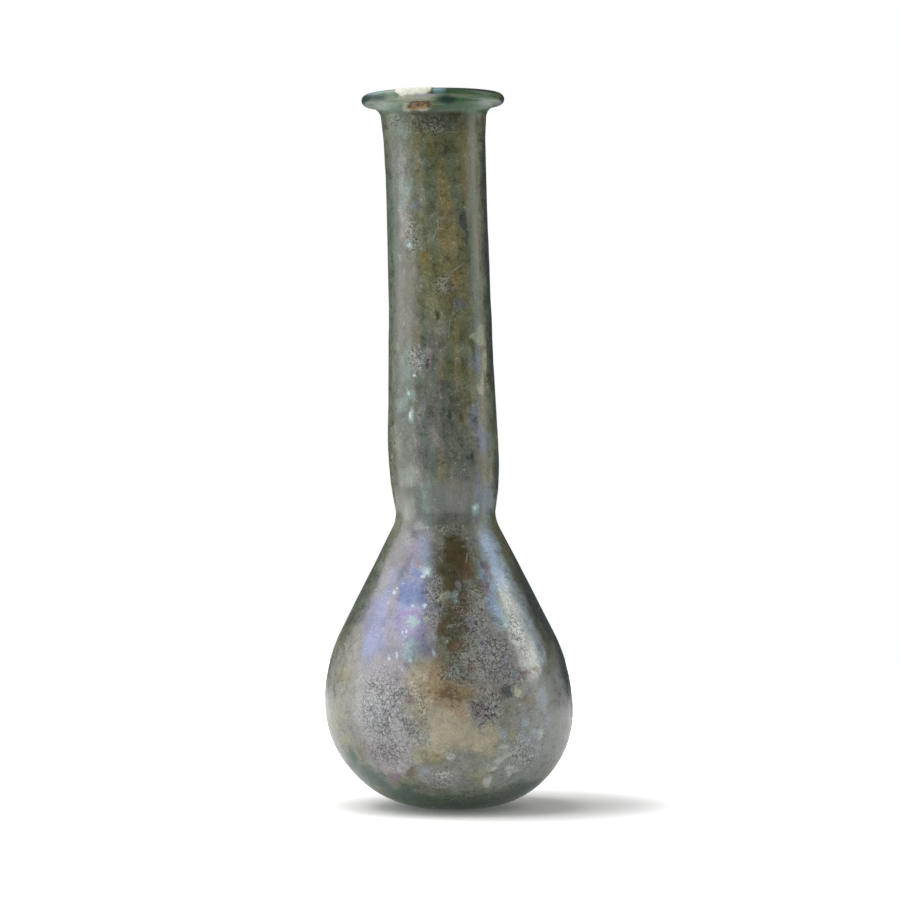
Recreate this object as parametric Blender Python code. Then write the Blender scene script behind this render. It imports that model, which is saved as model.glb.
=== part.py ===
"""Roman glass unguentarium, modelled as one hollow blown vessel.

The outline is worked out from named sizes, turned about the upright axis into a
closed shell, and then bent along the gentle lean that the blown vessel has.
"""

import math

import bmesh
import bpy

# Driving dimensions, in metres, and angles in radians
HEIGHT = 0.1400
BASE_RADIUS = 0.0065
BASE_TURN = math.radians(6.0)
BODY_RADIUS = 0.02443
BELLY_HEIGHT = 0.01976
SHOULDER_ARC = 0.0333
SHOULDER_SLOPE = math.radians(27.0)
WAIST_FILLET = 0.0062
WAIST_PINCH = 0.00015
NECK_RADIUS = 0.00997
RIM_RADIUS = 0.01406
RIM_THICKNESS = 0.0021
RIM_EDGE = 0.00099
RIM_FLARE = 0.0027
RIM_DISH = 0.0004
RIM_TILT = math.radians(0.87)
MOUTH_ROUND = 0.0012

# Wall thicknesses, in metres
BASE_WALL = 0.0030
BODY_WALL = 0.0015
NECK_WALL = 0.0018

# The neck's swell: share of the neck's length, and metres added to its radius
NECK_SWELL = [
    (0.000, -WAIST_PINCH),
    (0.075, 0.00071),
    (0.166, 0.00096),
    (0.283, 0.00068),
    (0.478, 0.00024),
    (0.777, 0.00000),
    (0.945, 0.00015),
    (1.000, 0.00041),
]

# The vessel's lean: share of the height, and metres to the side
LEAN = [
    (0.000, 0.0010),
    (0.070, 0.0005),
    (BELLY_HEIGHT / HEIGHT, 0.0),
    (0.220, -0.0003),
    (0.360, -0.0005),
    (0.430, -0.0007),
    (0.570, -0.0014),
    (0.710, -0.0018),
    (0.850, -0.0024),
    (1.000, -0.0032),
]

# Facets around the vessel, and steps along each stretch of its outline
SEGMENTS = 64
BODY_STEPS = 10
SHOULDER_STEPS = 4
WAIST_STEPS = 3
NECK_STEPS = 12
FLARE_STEPS = 4
EDGE_STEPS = 6
MOUTH_STEPS = 3
INNER_BODY_STEPS = 7
INNER_NECK_STEPS = 6

# Facet edges steeper than this stay sharp
SHARP_ANGLE = math.radians(40.0)
# Points on the axis closer than this are one point
WELD_DISTANCE = 1e-6

# Finish of the weathered glass
GLASS_COLOUR = (0.13, 0.145, 0.10, 1.0)
GLASS_ROUGHNESS = 0.4


def smooth_curve(stations, place):
    """Value at a place on a smooth curve through (place, value) stations."""
    last = len(stations) - 1
    slopes = []
    for index in range(last + 1):
        before = stations[max(index - 1, 0)]
        after = stations[min(index + 1, last)]
        slopes.append((after[1] - before[1]) / (after[0] - before[0]))
    start = 0
    while start < last - 1 and place > stations[start + 1][0]:
        start += 1
    (low_place, low), (high_place, high) = stations[start], stations[start + 1]
    span = high_place - low_place
    share = min(max((place - low_place) / span, 0.0), 1.0)
    rest = 1.0 - share
    from_ends = low * rest * rest * (1.0 + 2.0 * share) + high * share * share * (3.0 - 2.0 * share)
    from_slopes = slopes[start] * share * rest * rest - slopes[start + 1] * share * share * rest
    return from_ends + from_slopes * span


def arc_angles(first, last, steps):
    """Evenly spaced angles after the first one, up to the last one."""
    return [first + (last - first) * step / steps for step in range(1, steps + 1)]


def lower_body(steps):
    """Quarter ellipse from the edge of the flat base up to the widest place."""
    height_reach = BELLY_HEIGHT / math.cos(BASE_TURN)
    radius_reach = (BODY_RADIUS - BASE_RADIUS) / (1.0 - math.sin(BASE_TURN))
    points = [(BASE_RADIUS, 0.0)]
    for angle in arc_angles(BASE_TURN, math.pi / 2.0, steps):
        radius = BODY_RADIUS - radius_reach * (1.0 - math.sin(angle))
        points.append((radius, BELLY_HEIGHT - height_reach * math.cos(angle)))
    return points


def shoulder(steps):
    """Arc from the widest place inwards, to the slope of the straight shoulder."""
    points = []
    for angle in arc_angles(0.0, SHOULDER_SLOPE, steps):
        radius = BODY_RADIUS - SHOULDER_ARC * (1.0 - math.cos(angle))
        points.append((radius, BELLY_HEIGHT + SHOULDER_ARC * math.sin(angle)))
    return points


def waist(shoulder_end, steps):
    """Fillet that turns the straight shoulder upright at the pinched waist."""
    waist_radius = NECK_RADIUS - WAIST_PINCH
    fillet_start = waist_radius + WAIST_FILLET * (1.0 - math.cos(SHOULDER_SLOPE))
    start_height = shoulder_end[1] + (shoulder_end[0] - fillet_start) / math.tan(SHOULDER_SLOPE)
    waist_height = start_height + WAIST_FILLET * math.sin(SHOULDER_SLOPE)
    points = [(fillet_start, start_height)]
    for angle in arc_angles(SHOULDER_SLOPE, 0.0, steps):
        radius = waist_radius + WAIST_FILLET * (1.0 - math.cos(angle))
        points.append((radius, waist_height - WAIST_FILLET * math.sin(angle)))
    return points


def neck(waist_height, steps):
    """Long neck from the waist up to where the rim starts to flare."""
    length = HEIGHT - RIM_THICKNESS - RIM_FLARE - waist_height
    points = []
    for step in range(1, steps + 1):
        share = step / steps
        radius = NECK_RADIUS + smooth_curve(NECK_SWELL, share)
        points.append((radius, waist_height + share * length))
    return points


def outer_wall(body_steps, shoulder_steps, waist_steps, neck_steps):
    """Outline of the outer wall, from the base's edge to the top of the neck."""
    points = lower_body(body_steps) + shoulder(shoulder_steps)
    points += waist(points[-1], waist_steps)
    points += neck(points[-1][1], neck_steps)
    return points


def rim(neck_top):
    """Underside, rounded edge and dished top of the rim, in to the mouth."""
    edge_start = RIM_RADIUS - RIM_EDGE
    points = []
    for angle in arc_angles(0.0, math.pi / 2.0, FLARE_STEPS):
        radius = neck_top[0] + (edge_start - neck_top[0]) * (1.0 - math.cos(angle))
        points.append((radius, neck_top[1] + RIM_FLARE * math.sin(angle)))
    edge_height = HEIGHT - RIM_THICKNESS / 2.0
    for angle in arc_angles(-math.pi / 2.0, math.pi / 2.0, EDGE_STEPS):
        radius = edge_start + RIM_EDGE * math.cos(angle)
        points.append((radius, edge_height + RIM_THICKNESS / 2.0 * math.sin(angle)))
    bore_radius = neck_top[0] - NECK_WALL
    for angle in arc_angles(0.0, math.pi / 2.0, MOUTH_STEPS):
        radius = bore_radius + MOUTH_ROUND * (1.0 - math.sin(angle))
        drop = RIM_DISH + MOUTH_ROUND * (1.0 - math.cos(angle))
        points.append((radius, HEIGHT - drop))
    return points


def wall_thickness(height, waist_height):
    """Wall thickness at a height: thick base, thin body, sturdier neck."""
    if height < BELLY_HEIGHT:
        share = height / BELLY_HEIGHT
        return BASE_WALL + (BODY_WALL - BASE_WALL) * math.sin(share * math.pi / 2.0)
    share = min((height - BELLY_HEIGHT) / (waist_height - BELLY_HEIGHT), 1.0)
    return BODY_WALL + (NECK_WALL - BODY_WALL) * share


def inner_wall():
    """Outline of the hollow, from the top of the bore down to the floor's edge."""
    outer = outer_wall(INNER_BODY_STEPS, SHOULDER_STEPS, WAIST_STEPS, INNER_NECK_STEPS)
    waist_height = outer[-INNER_NECK_STEPS - 1][1]
    last = len(outer) - 1
    inner = []
    for index, (radius, height) in enumerate(outer):
        before = outer[max(index - 1, 0)]
        after = outer[min(index + 1, last)]
        along = (after[0] - before[0], after[1] - before[1])
        length = math.hypot(*along)
        wall = wall_thickness(height, waist_height)
        inner.append((radius - wall * along[1] / length, height + wall * along[0] / length))
    inner[0] = (inner[0][0], BASE_WALL)
    inner[-1] = (outer[-1][0] - NECK_WALL, outer[-1][1])
    return inner[::-1]


def turn_outline(outline):
    """Turn the outline about the upright axis into one closed shell."""
    mesh_data = bmesh.new()
    verts = [mesh_data.verts.new((radius, 0.0, height)) for radius, height in outline]
    edges = [mesh_data.edges.new(pair) for pair in zip(verts, verts[1:])]
    bmesh.ops.spin(
        mesh_data,
        geom=verts + edges,
        cent=(0.0, 0.0, 0.0),
        axis=(0.0, 0.0, 1.0),
        angle=2.0 * math.pi,
        steps=SEGMENTS,
        use_merge=True,
    )
    bmesh.ops.remove_doubles(mesh_data, verts=mesh_data.verts, dist=WELD_DISTANCE)
    bmesh.ops.recalc_face_normals(mesh_data, faces=mesh_data.faces)
    return mesh_data


def bend_to_lean(mesh_data):
    """Shift each ring along the leaning middle line, and tilt it towards the rim."""
    for vert in mesh_data.verts:
        share = vert.co.z / HEIGHT
        tilt = RIM_TILT * max(share * 2.0 - 1.0, 0.0)
        sideways = vert.co.x
        vert.co.x = smooth_curve(LEAN, share) + sideways * math.cos(tilt)
        vert.co.z += sideways * math.sin(tilt)


def weathered_glass():
    """Green glass under a dull weathering film."""
    material = bpy.data.materials.new("weathered_glass")
    material.use_nodes = True
    shader = material.node_tree.nodes["Principled BSDF"]
    shader.inputs["Base Color"].default_value = GLASS_COLOUR
    shader.inputs["Roughness"].default_value = GLASS_ROUGHNESS
    shader.inputs["Metallic"].default_value = 0.0
    return material


def glass_vessel():
    """The whole vessel: outer wall, rim and hollow, as one closed body."""
    outer = outer_wall(BODY_STEPS, SHOULDER_STEPS, WAIST_STEPS, NECK_STEPS)
    outline = [(0.0, 0.0)] + outer + rim(outer[-1]) + inner_wall() + [(0.0, BASE_WALL)]
    mesh_data = turn_outline(outline)
    bend_to_lean(mesh_data)
    mesh = bpy.data.meshes.new("glass_vessel")
    mesh_data.to_mesh(mesh)
    mesh_data.free()
    mesh.shade_smooth()
    mesh.set_sharp_from_angle(angle=SHARP_ANGLE)
    mesh.materials.append(weathered_glass())
    vessel = bpy.data.objects.new("glass_vessel", mesh)
    bpy.context.collection.objects.link(vessel)
    return vessel


def main():
    for old in list(bpy.data.objects):
        bpy.data.objects.remove(old)
    glass_vessel()


main()
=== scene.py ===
"""Looks of the Roman glass unguentarium: blown green glass under a weathering film."""

from collections import namedtuple
import math

import bpy
import numpy as np
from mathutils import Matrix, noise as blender_noise


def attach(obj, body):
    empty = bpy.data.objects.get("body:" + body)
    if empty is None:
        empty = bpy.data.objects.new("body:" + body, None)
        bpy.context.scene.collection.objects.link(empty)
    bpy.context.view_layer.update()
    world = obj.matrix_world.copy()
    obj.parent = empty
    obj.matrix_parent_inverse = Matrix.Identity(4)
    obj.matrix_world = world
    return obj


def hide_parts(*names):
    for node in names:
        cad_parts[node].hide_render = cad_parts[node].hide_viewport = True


MM = 0.001

# One layer of stain, or of painted shade or highlight: its colour, how much it covers, how metallic
# its sheen is, how soft and ragged its edges are, and its spots: millimetres around from the front,
# millimetres up, half width, half height, and where the spot is slanted, the degrees of its slant
Stain = namedtuple("Stain", "name colour cover sheen softness raggedness spots")

# Broad colours of the weathering film, laid first; among them painted shade along the flanks and low on the
# body, painted highlights along the right shoulder's streak, and a tan belly made paler as if lit from
# behind
WASHES = [
    # Painted shade: the neck's left edge, seen nearly edge-on, darkened to dark green
    Stain("painted shade along the neck's left edge", (0.060, 0.084, 0.068), 0.80, 0.10, 0.35, 0.20, [
        (-14.6, 105, 4.4, 34),
    ]),
    Stain("dark top of the neck", (0.058, 0.066, 0.040), 0.80, 0.05, 0.55, 0.60, [
        (1, 135, 9, 2.8),
    ]),
    Stain("left haze of the neck", (0.092, 0.105, 0.102), 0.85, 0.18, 0.45, 0.50, [
        (-8.2, 120, 3.3, 14), (-7.6, 98, 3.5, 12), (-8.2, 80, 3.4, 12), (-8, 63, 4.4, 8),
    ]),
    Stain("olive middle of the neck", (0.140, 0.137, 0.068), 0.60, 0.08, 0.60, 0.55, [
        (1.6, 119, 2.2, 9), (2.4, 111, 3, 4.6), (0, 104, 4.5, 8), (2.4, 84, 2.6, 9), (0, 64.5, 4, 2.5),
        (5.5, 104, 2, 8), (5, 126, 3, 6),
    ]),
    Stain("grey lower neck", (0.130, 0.138, 0.148), 0.74, 0.20, 0.55, 0.45, [
        (0, 60, 6, 4.5), (-3.5, 70, 3, 8), (5, 63, 4, 8), (-0.8, 76, 4.2, 8), (-1.4, 88.5, 2.4, 5),
    ]),
    Stain("right band of the neck", (0.132, 0.142, 0.120), 0.70, 0.22, 0.30, 0.20, [
        (8.6, 117, 1.5, 16), (7.8, 100, 1.4, 12), (9, 80, 1.8, 11),
    ]),
    Stain("lilac shoulder", (0.205, 0.212, 0.325), 0.85, 0.50, 0.55, 0.60, [
        (-8.5, 44, 5.2, 8.5, -12), (-13.5, 37, 5.5, 10, -16), (-8, 34, 5, 8),
    ]),
    Stain("grey upper shoulder", (0.090, 0.093, 0.112), 0.85, 0.36, 0.60, 0.60, [
        (-5.6, 52.5, 4, 4.6), (-10, 49, 3, 5, -12), (-3.2, 44, 1.6, 6),
    ]),
    Stain("beige left flank", (0.225, 0.216, 0.194), 0.85, 0.15, 0.45, 0.40, [
        (-27, 20, 8, 13), (-22, 31, 4, 6),
    ]),
    Stain("crackled lilac belly", (0.320, 0.310, 0.328), 0.85, 0.32, 0.35, 0.30, [
        (-14, 21, 6.5, 9.5), (-12, 12.5, 6, 4.5), (-9, 27, 4.5, 4),
    ]),
    Stain("brown shoulder", (0.042, 0.031, 0.007), 0.95, 0.00, 0.40, 0.70, [
        (1.4, 49, 3.4, 5), (1.4, 43.5, 2.6, 4), (1.6, 37.5, 3.6, 3.8), (1.6, 32.6, 1.9, 2),
        (3.8, 48.6, 1.4, 3.2),
    ]),
    # Tan deposit of the belly, partly painted light: paler than its own colour, as if lit through the glass
    # from behind
    Stain("tan belly", (0.375, 0.335, 0.240), 0.92, 0.02, 0.50, 0.50, [
        (-5, 24, 3.6, 6.5), (-0.5, 17.8, 5.6, 4.4), (5.8, 15, 3.6, 3, -20), (-3.5, 14.8, 3.4, 3),
    ]),
    Stain("brown tan belly", (0.300, 0.218, 0.122), 0.80, 0.00, 0.60, 0.60, [
        (-1.5, 26, 2.6, 4.4), (1.6, 23.4, 4, 2.8), (2.4, 20.5, 2, 1.8, 20),
    ]),
    Stain("grey green right flank", (0.235, 0.254, 0.238), 0.80, 0.18, 0.40, 0.35, [
        (21, 17, 8.5, 10), (12, 9, 8, 5), (27, 20, 7, 9),
    ]),
    Stain("grey speckled belly", (0.285, 0.280, 0.262), 0.75, 0.10, 0.60, 0.80, [
        (8, 29, 5, 7.5), (7.5, 21, 3.6, 4), (8, 38, 3, 4), (13, 26, 4.5, 6),
    ]),
    # Painted highlight: pale blue beside the bright streak on the right shoulder
    Stain("pale blue painted highlight beside the right streak", (0.300, 0.370, 0.410), 0.85, 0.42, 0.60, 0.50, [
        (17.4, 37, 2.2, 7, 20), (13.6, 45, 1.8, 5, 20), (20.4, 31.5, 1.8, 3, 14),
        (11.4, 50.5, 1.4, 2.6, 16), (10.6, 38.6, 1.3, 3.2, 12),
    ]),
    # Cream crackled film of the right shoulder, partly painted highlight along the streak where light
    # reflects
    Stain("cream film and painted highlight of the right shoulder", (0.455, 0.480, 0.450), 0.90, 0.50, 0.45, 0.60, [
        (15, 36, 2.4, 6.5, 18), (17.6, 30, 2.6, 4, 14), (12.2, 42.5, 1.8, 5, 18),
    ]),
    # Painted highlight: blue white along the streak on the right shoulder
    Stain("blue painted highlight of the right shoulder", (0.250, 0.330, 0.455), 0.80, 0.50, 0.70, 0.80, [
        (9.2, 51.6, 1.8, 3.4, 16), (10.6, 47, 1.8, 4, 20), (9.4, 40.5, 1.2, 3, 12), (7.8, 45.4, 1, 3, 12),
    ]),
    # Painted shade: the right flank of the body and neck, seen edge-on, darkened to dark teal
    Stain("painted shade of the right flank", (0.024, 0.038, 0.040), 0.93, 0.05, 0.30, 0.12, [
        (24.4, 46, 7, 15, 20), (15.8, 107, 5, 34), (16.5, 62, 4.2, 10), (36, 28, 7.6, 13, 20),
    ]),
    # Painted shade: the left flank of the shoulder and waist, seen edge-on, darkened to dark green
    Stain("painted shade of the left flank", (0.062, 0.078, 0.056), 0.85, 0.05, 0.30, 0.18, [
        (-22.6, 47, 6.2, 14, -20), (-17, 72, 3.6, 12),
    ]),
    # Painted shade: dark teal low on the body near the floor and at its flanks
    Stain("painted teal shade low on the body", (0.028, 0.068, 0.050), 0.92, 0.05, 0.55, 0.45, [
        (-18.5, 6.6, 6, 2.2, -14), (-11, 3.8, 5, 1.6, -8), (16, 4.6, 6, 1.5, 8), (-24, 10, 2.4, 3),
    ]),
]

# Middle-sized stains and films, and a painted highlight streak along the left shoulder
STAINS = [
    Stain("lilac grey film", (0.240, 0.235, 0.250), 0.65, 0.32, 0.35, 0.50, [
        (-6.8, 114, 1.9, 3.6), (-7.4, 125, 1.2, 4.5), (-4.2, 78.6, 0.8, 3.6), (0.2, 93.3, 1.1, 1.3),
        (-5.8, 55.4, 1.3, 1), (-2.4, 72, 1.4, 2.6), (-4.2, 101.2, 0.6, 0.6), (-2.5, 88, 1.3, 2.2),
        (5, 37.2, 1.1, 1.5), (2.4, 43.8, 0.7, 1.2), (-14.5, 43.5, 1.6, 3, -20), (-17, 26, 2, 3),
        (-3.4, 43, 1, 2.6), (-2.6, 36.5, 1.4, 3),
    ]),
    Stain("beige pink film", (0.160, 0.150, 0.142), 0.55, 0.25, 0.50, 0.60, [
        (-8.6, 126.5, 0.9, 3.5), (-8.4, 102, 1.6, 3.6), (-7.3, 94.5, 2.4, 3.5), (-5.2, 104, 1.4, 5),
    ]),
    Stain("pink grey film", (0.255, 0.235, 0.240), 0.60, 0.30, 0.60, 0.60, [
        (-10.6, 50.5, 2.2, 4, -14), (-13, 47, 2, 3), (-11.3, 41, 1.6, 3, -14), (-11, 34, 1.8, 2.4),
        (-14.4, 29, 2.6, 2), (-9.4, 31.5, 1.4, 2),
    ]),
    Stain("aqua film", (0.190, 0.250, 0.245), 0.55, 0.30, 0.50, 1.20, [
        (-6.4, 132.5, 1.7, 1.3), (-7, 87, 1.7, 3.6), (-6.8, 80.6, 1.3, 1.6), (-6.3, 77, 0.8, 1.2),
        (-9.5, 79, 1.5, 1.2), (-6.6, 119, 1.6, 3.4), (0.9, 77.5, 0.6, 0.7), (-3.8, 58.5, 0.8, 2.8),
        (-4, 62.5, 1, 1.8), (10, 56.5, 1, 2), (-15, 20, 2.4, 3.6), (-8.8, 24.4, 0.8, 1.5),
        (1.4, 27.8, 1.5, 1.7), (1, 26.6, 0.7, 0.7), (-10, 90.5, 0.8, 1.2), (-5.4, 15.6, 1.6, 1.4),
        (-12.5, 20, 1.4, 1.4),
    ]),
    Stain("slate blue film", (0.125, 0.155, 0.215), 0.80, 0.34, 0.50, 0.50, [
        (6.7, 76, 1, 4), (7.4, 87.5, 0.9, 2.6), (7, 61.5, 0.9, 5.2, -6), (3.8, 98.4, 1.3, 1.3),
        (-4.2, 117.5, 0.7, 0.6), (7.6, 74, 0.9, 1.5), (9.6, 60.5, 1.8, 3), (8.6, 72, 1.6, 2.4),
        (-4.3, 50.8, 1.4, 2.6, -8),
    ]),
    Stain("dark slate smear", (0.058, 0.070, 0.072), 0.85, 0.15, 0.35, 0.30, [
        (5.2, 115, 0.9, 2.3), (5.9, 111.4, 0.6, 2), (11.2, 24, 1.1, 1.3),
    ]),
    Stain("pale green haze", (0.250, 0.280, 0.262), 0.65, 0.28, 0.65, 0.60, [
        (-7.4, 65.6, 2.2, 1.8), (-8.6, 58.2, 1.7, 2.1), (-7.6, 63.6, 1.8, 0.6, 20), (-7.8, 52.5, 1.3, 1.2),
    ]),
    Stain("grey patches", (0.170, 0.182, 0.155), 0.70, 0.18, 0.40, 1.00, [
        (-3, 102.8, 1.3, 0.9), (1.2, 101.7, 1.3, 1, -30), (-3.2, 72, 0.9, 1.3), (-1.2, 52.3, 0.8, 0.9),
        (-3, 119, 1.1, 3), (-0.8, 93, 1.2, 1), (-9, 135, 2.6, 1.2),
    ]),
    Stain("tan streak", (0.185, 0.165, 0.078), 0.75, 0.05, 0.45, 0.60, [
        (-0.9, 128.7, 1, 2.8), (1.6, 121, 1.3, 5), (2.4, 111.6, 2.2, 3.2), (2.6, 92.2, 0.6, 2.4),
        (-2.9, 11.8, 1.3, 1.2),
    ]),
    Stain("ochre", (0.205, 0.155, 0.058), 0.65, 0.05, 0.50, 0.90, [
        (3.2, 103.2, 1.3, 1.5), (-2.4, 107.4, 0.8, 0.9), (2.8, 23.9, 1.4, 0.8), (0.9, 110, 1, 1),
    ]),
    Stain("rust brown", (0.110, 0.065, 0.030), 0.80, 0.00, 0.50, 1.00, [
        (1.7, 32.4, 1.7, 0.9), (4.8, 29, 1.1, 1), (0, 29, 0.9, 0.7), (4.3, 47.2, 0.9, 1.6),
        (2.8, 39.3, 1, 1.2), (-0.8, 36.6, 0.9, 1), (0.2, 24, 1.6, 0.9), (3.9, 76.8, 0.6, 0.7),
        (13.4, 134.2, 1.4, 2), (-8.3, 8.2, 0.8, 0.8),
    ]),
    Stain("brown film of the right flank", (0.210, 0.165, 0.125), 0.75, 0.08, 0.40, 0.80, [
        (16.9, 22.8, 1.5, 0.9), (18.7, 28.5, 1.1, 0.7, -10), (16, 27.6, 1.4, 0.7),
    ]),
    Stain("mauve", (0.180, 0.128, 0.152), 0.85, 0.30, 0.60, 0.80, [
        (-13.5, 12.3, 4.2, 1.9), (8.4, 47, 0.7, 1.4, 14), (-15.6, 11, 1, 0.9), (7.8, 43.6, 0.6, 1, 10),
        (15.6, 27.8, 1.5, 1.5), (-7.6, 22.5, 0.9, 0.9), (-11.8, 8, 1.8, 1.4), (-5.4, 48.4, 0.6, 0.6),
    ]),
    Stain("dark purple", (0.100, 0.080, 0.092), 0.80, 0.15, 0.45, 0.90, [
        (6.1, 21.2, 1.4, 1.4, 20), (7.6, 19.6, 0.9, 0.9), (-8, 16.6, 0.8, 1.3, 20), (-13.3, 17.5, 0.8, 1),
    ]),
    Stain("violet", (0.215, 0.210, 0.290), 0.65, 0.40, 0.55, 0.80, [
        (8.3, 21.5, 0.9, 0.8), (7.5, 32.6, 0.9, 1.3), (5.2, 36.8, 0.9, 1.2), (-9.3, 36, 0.9, 1.2),
        (12, 29, 0.9, 0.9, -20),
    ]),
    Stain("pink film", (0.235, 0.180, 0.245), 0.50, 0.50, 0.70, 0.40, [
        (-7, 51, 1.8, 1.2), (7.2, 44, 0.6, 1), (-12.5, 27, 2.4, 1.2),
    ]),
    Stain("violet ring", (0.185, 0.125, 0.265), 0.62, 0.55, 0.30, 0.40, [
        (-7, 37.2, 2.9, 2.5),
    ]),
    Stain("lilac within the ring", (0.195, 0.200, 0.275), 0.90, 0.50, 0.45, 0.30, [
        (-7, 36.7, 2.1, 1.7),
    ]),
    Stain("steel blue film", (0.090, 0.124, 0.236), 0.85, 0.50, 0.32, 0.45, [
        (-8.2, 42.2, 2, 2.3), (-6.2, 42.6, 2.2, 2.2), (-4.8, 42.4, 1.6, 2.1), (-5.8, 46.6, 1.1, 0.9),
    ]),
    # Violet blue film, partly painted highlight: its long slanted spots on the left shoulder paint a
    # highlight streak
    Stain("violet blue film and painted highlight", (0.250, 0.275, 0.410), 0.55, 0.58, 0.90, 0.80, [
        (-6.2, 39.9, 3.2, 0.7), (-15.8, 33.5, 1.9, 3.2, -14), (-11.4, 46.1, 1.5, 0.8, 30),
        (-13.6, 40.5, 1.2, 4, -16),
    ]),
    Stain("blue film of the right shoulder", (0.255, 0.350, 0.450), 0.70, 0.55, 0.50, 0.70, [
        (9.2, 43.8, 0.8, 1.2), (9.3, 39.6, 0.9, 1.2), (13.2, 27.4, 1.1, 0.8, -30),
    ]),
    Stain("yellow olive", (0.250, 0.235, 0.135), 0.60, 0.05, 0.50, 0.70, [
        (13, 16.2, 1, 1.6), (12.6, 20.5, 0.8, 1), (-24.5, 27, 1.8, 1.5), (-27, 19, 1.4, 3),
        (-24, 14, 1.6, 2), (5.2, 7.5, 1.8, 1.8), (-5.5, 29.6, 1.6, 0.9), (14, 14.2, 1.6, 0.9),
        (-6.5, 11.5, 1.6, 1.2),
    ]),
    Stain("olive film of the right belly", (0.320, 0.290, 0.195), 0.70, 0.04, 0.50, 0.40, [
        (7.2, 13.4, 2.4, 1.5), (7.6, 16.2, 2.2, 1.6),
    ]),
    Stain("grey low belly", (0.215, 0.215, 0.205), 0.75, 0.12, 0.50, 0.60, [
        (2, 11.6, 2, 1.6), (-4.6, 8.6, 3, 1.8), (0, 7.6, 2.6, 2),
    ]),
    Stain("blue grey spots", (0.265, 0.305, 0.350), 0.70, 0.30, 0.55, 0.90, [
        (20, 22, 1.4, 2), (15.6, 14.6, 1.6, 1.2), (10.4, 16, 1.2, 1.6), (15.7, 18.2, 0.8, 1.3),
        (21.5, 18.2, 1.1, 1.3), (18.8, 15.6, 1.8, 1.2), (19.4, 12.4, 0.9, 0.8), (-5.4, 8.9, 0.9, 0.9),
    ]),
    Stain("pale smooth blobs", (0.275, 0.290, 0.225), 0.85, 0.10, 0.22, 0.35, [
        (8.6, 92.3, 1.9, 1.7), (10, 87.4, 1, 2.6, -4), (8.6, 83, 0.7, 2.6),
    ]),
    Stain("pale blobs of the low belly", (0.420, 0.455, 0.410), 0.75, 0.10, 0.50, 0.50, [
        (7.8, 8.7, 1.2, 0.6), (6.4, 6.6, 0.8, 1), (9.3, 10.9, 1.4, 0.8, 24), (11.6, 12.4, 2.2, 0.6, 34),
        (13.8, 11.2, 1, 0.6), (16.8, 11.9, 0.7, 0.9), (10.8, 13.5, 0.7, 0.5), (0.2, 12, 0.9, 0.9),
        (-1.6, 7.8, 1.6, 0.6), (19.5, 15.4, 0.7, 0.8), (12.6, 8.6, 1.4, 0.6, 20),
    ]),
    Stain("yellow white crust", (0.520, 0.510, 0.370), 0.85, 0.00, 0.30, 1.30, [
        (13.9, 24.3, 1.2, 0.7, -24),
    ]),
    Stain("aqua discs", (0.270, 0.375, 0.370), 0.70, 0.48, 0.55, 0.70, [
        (-6.9, 37, 1.1, 1), (-7.4, 32, 2, 2), (11.6, 37, 1.2, 1.3), (1.1, 42, 0.8, 0.9),
        (13.3, 27.2, 0.9, 0.7, -20), (-4, 46.8, 1.3, 1.2, -30), (-6.1, 110, 0.9, 0.9),
        (-6.7, 76.9, 0.7, 1.2), (6.3, 58.8, 0.7, 1),
    ]),
    Stain("green discs", (0.290, 0.335, 0.250), 0.65, 0.25, 0.45, 0.90, [
        (-0.3, 42.3, 0.7, 1.1), (-4, 38, 0.6, 0.9), (-5.9, 110.9, 0.6, 0.6), (10.9, 41.5, 0.8, 1.5, 14),
        (-6.7, 37.1, 0.5, 0.5),
    ]),
    Stain("dark green smears", (0.046, 0.050, 0.022), 0.80, 0.00, 0.55, 0.60, [
        (2.6, 134.2, 2.6, 0.9, 4), (-12, 134.6, 0.8, 0.6), (2.4, 79.6, 0.9, 1.4), (-2, 135.6, 2.4, 0.6),
        (4.6, 134.8, 1.6, 0.7),
    ]),
    Stain("dark spots", (0.028, 0.030, 0.020), 0.85, 0.00, 0.45, 1.30, [
        (-0.8, 96.4, 0.7, 0.95), (2.3, 128.2, 1.1, 1, -20), (5.8, 69.4, 0.7, 0.5), (-2.6, 86.6, 0.7, 0.8),
        (1.5, 77.2, 0.7, 0.5),
    ]),
    Stain("foam at the neck's top", (0.400, 0.380, 0.320), 0.50, 0.00, 0.50, 0.80, [
        (-9.2, 136, 1.5, 0.7), (10.8, 135.8, 0.8, 0.9),
    ]),
]
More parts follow.
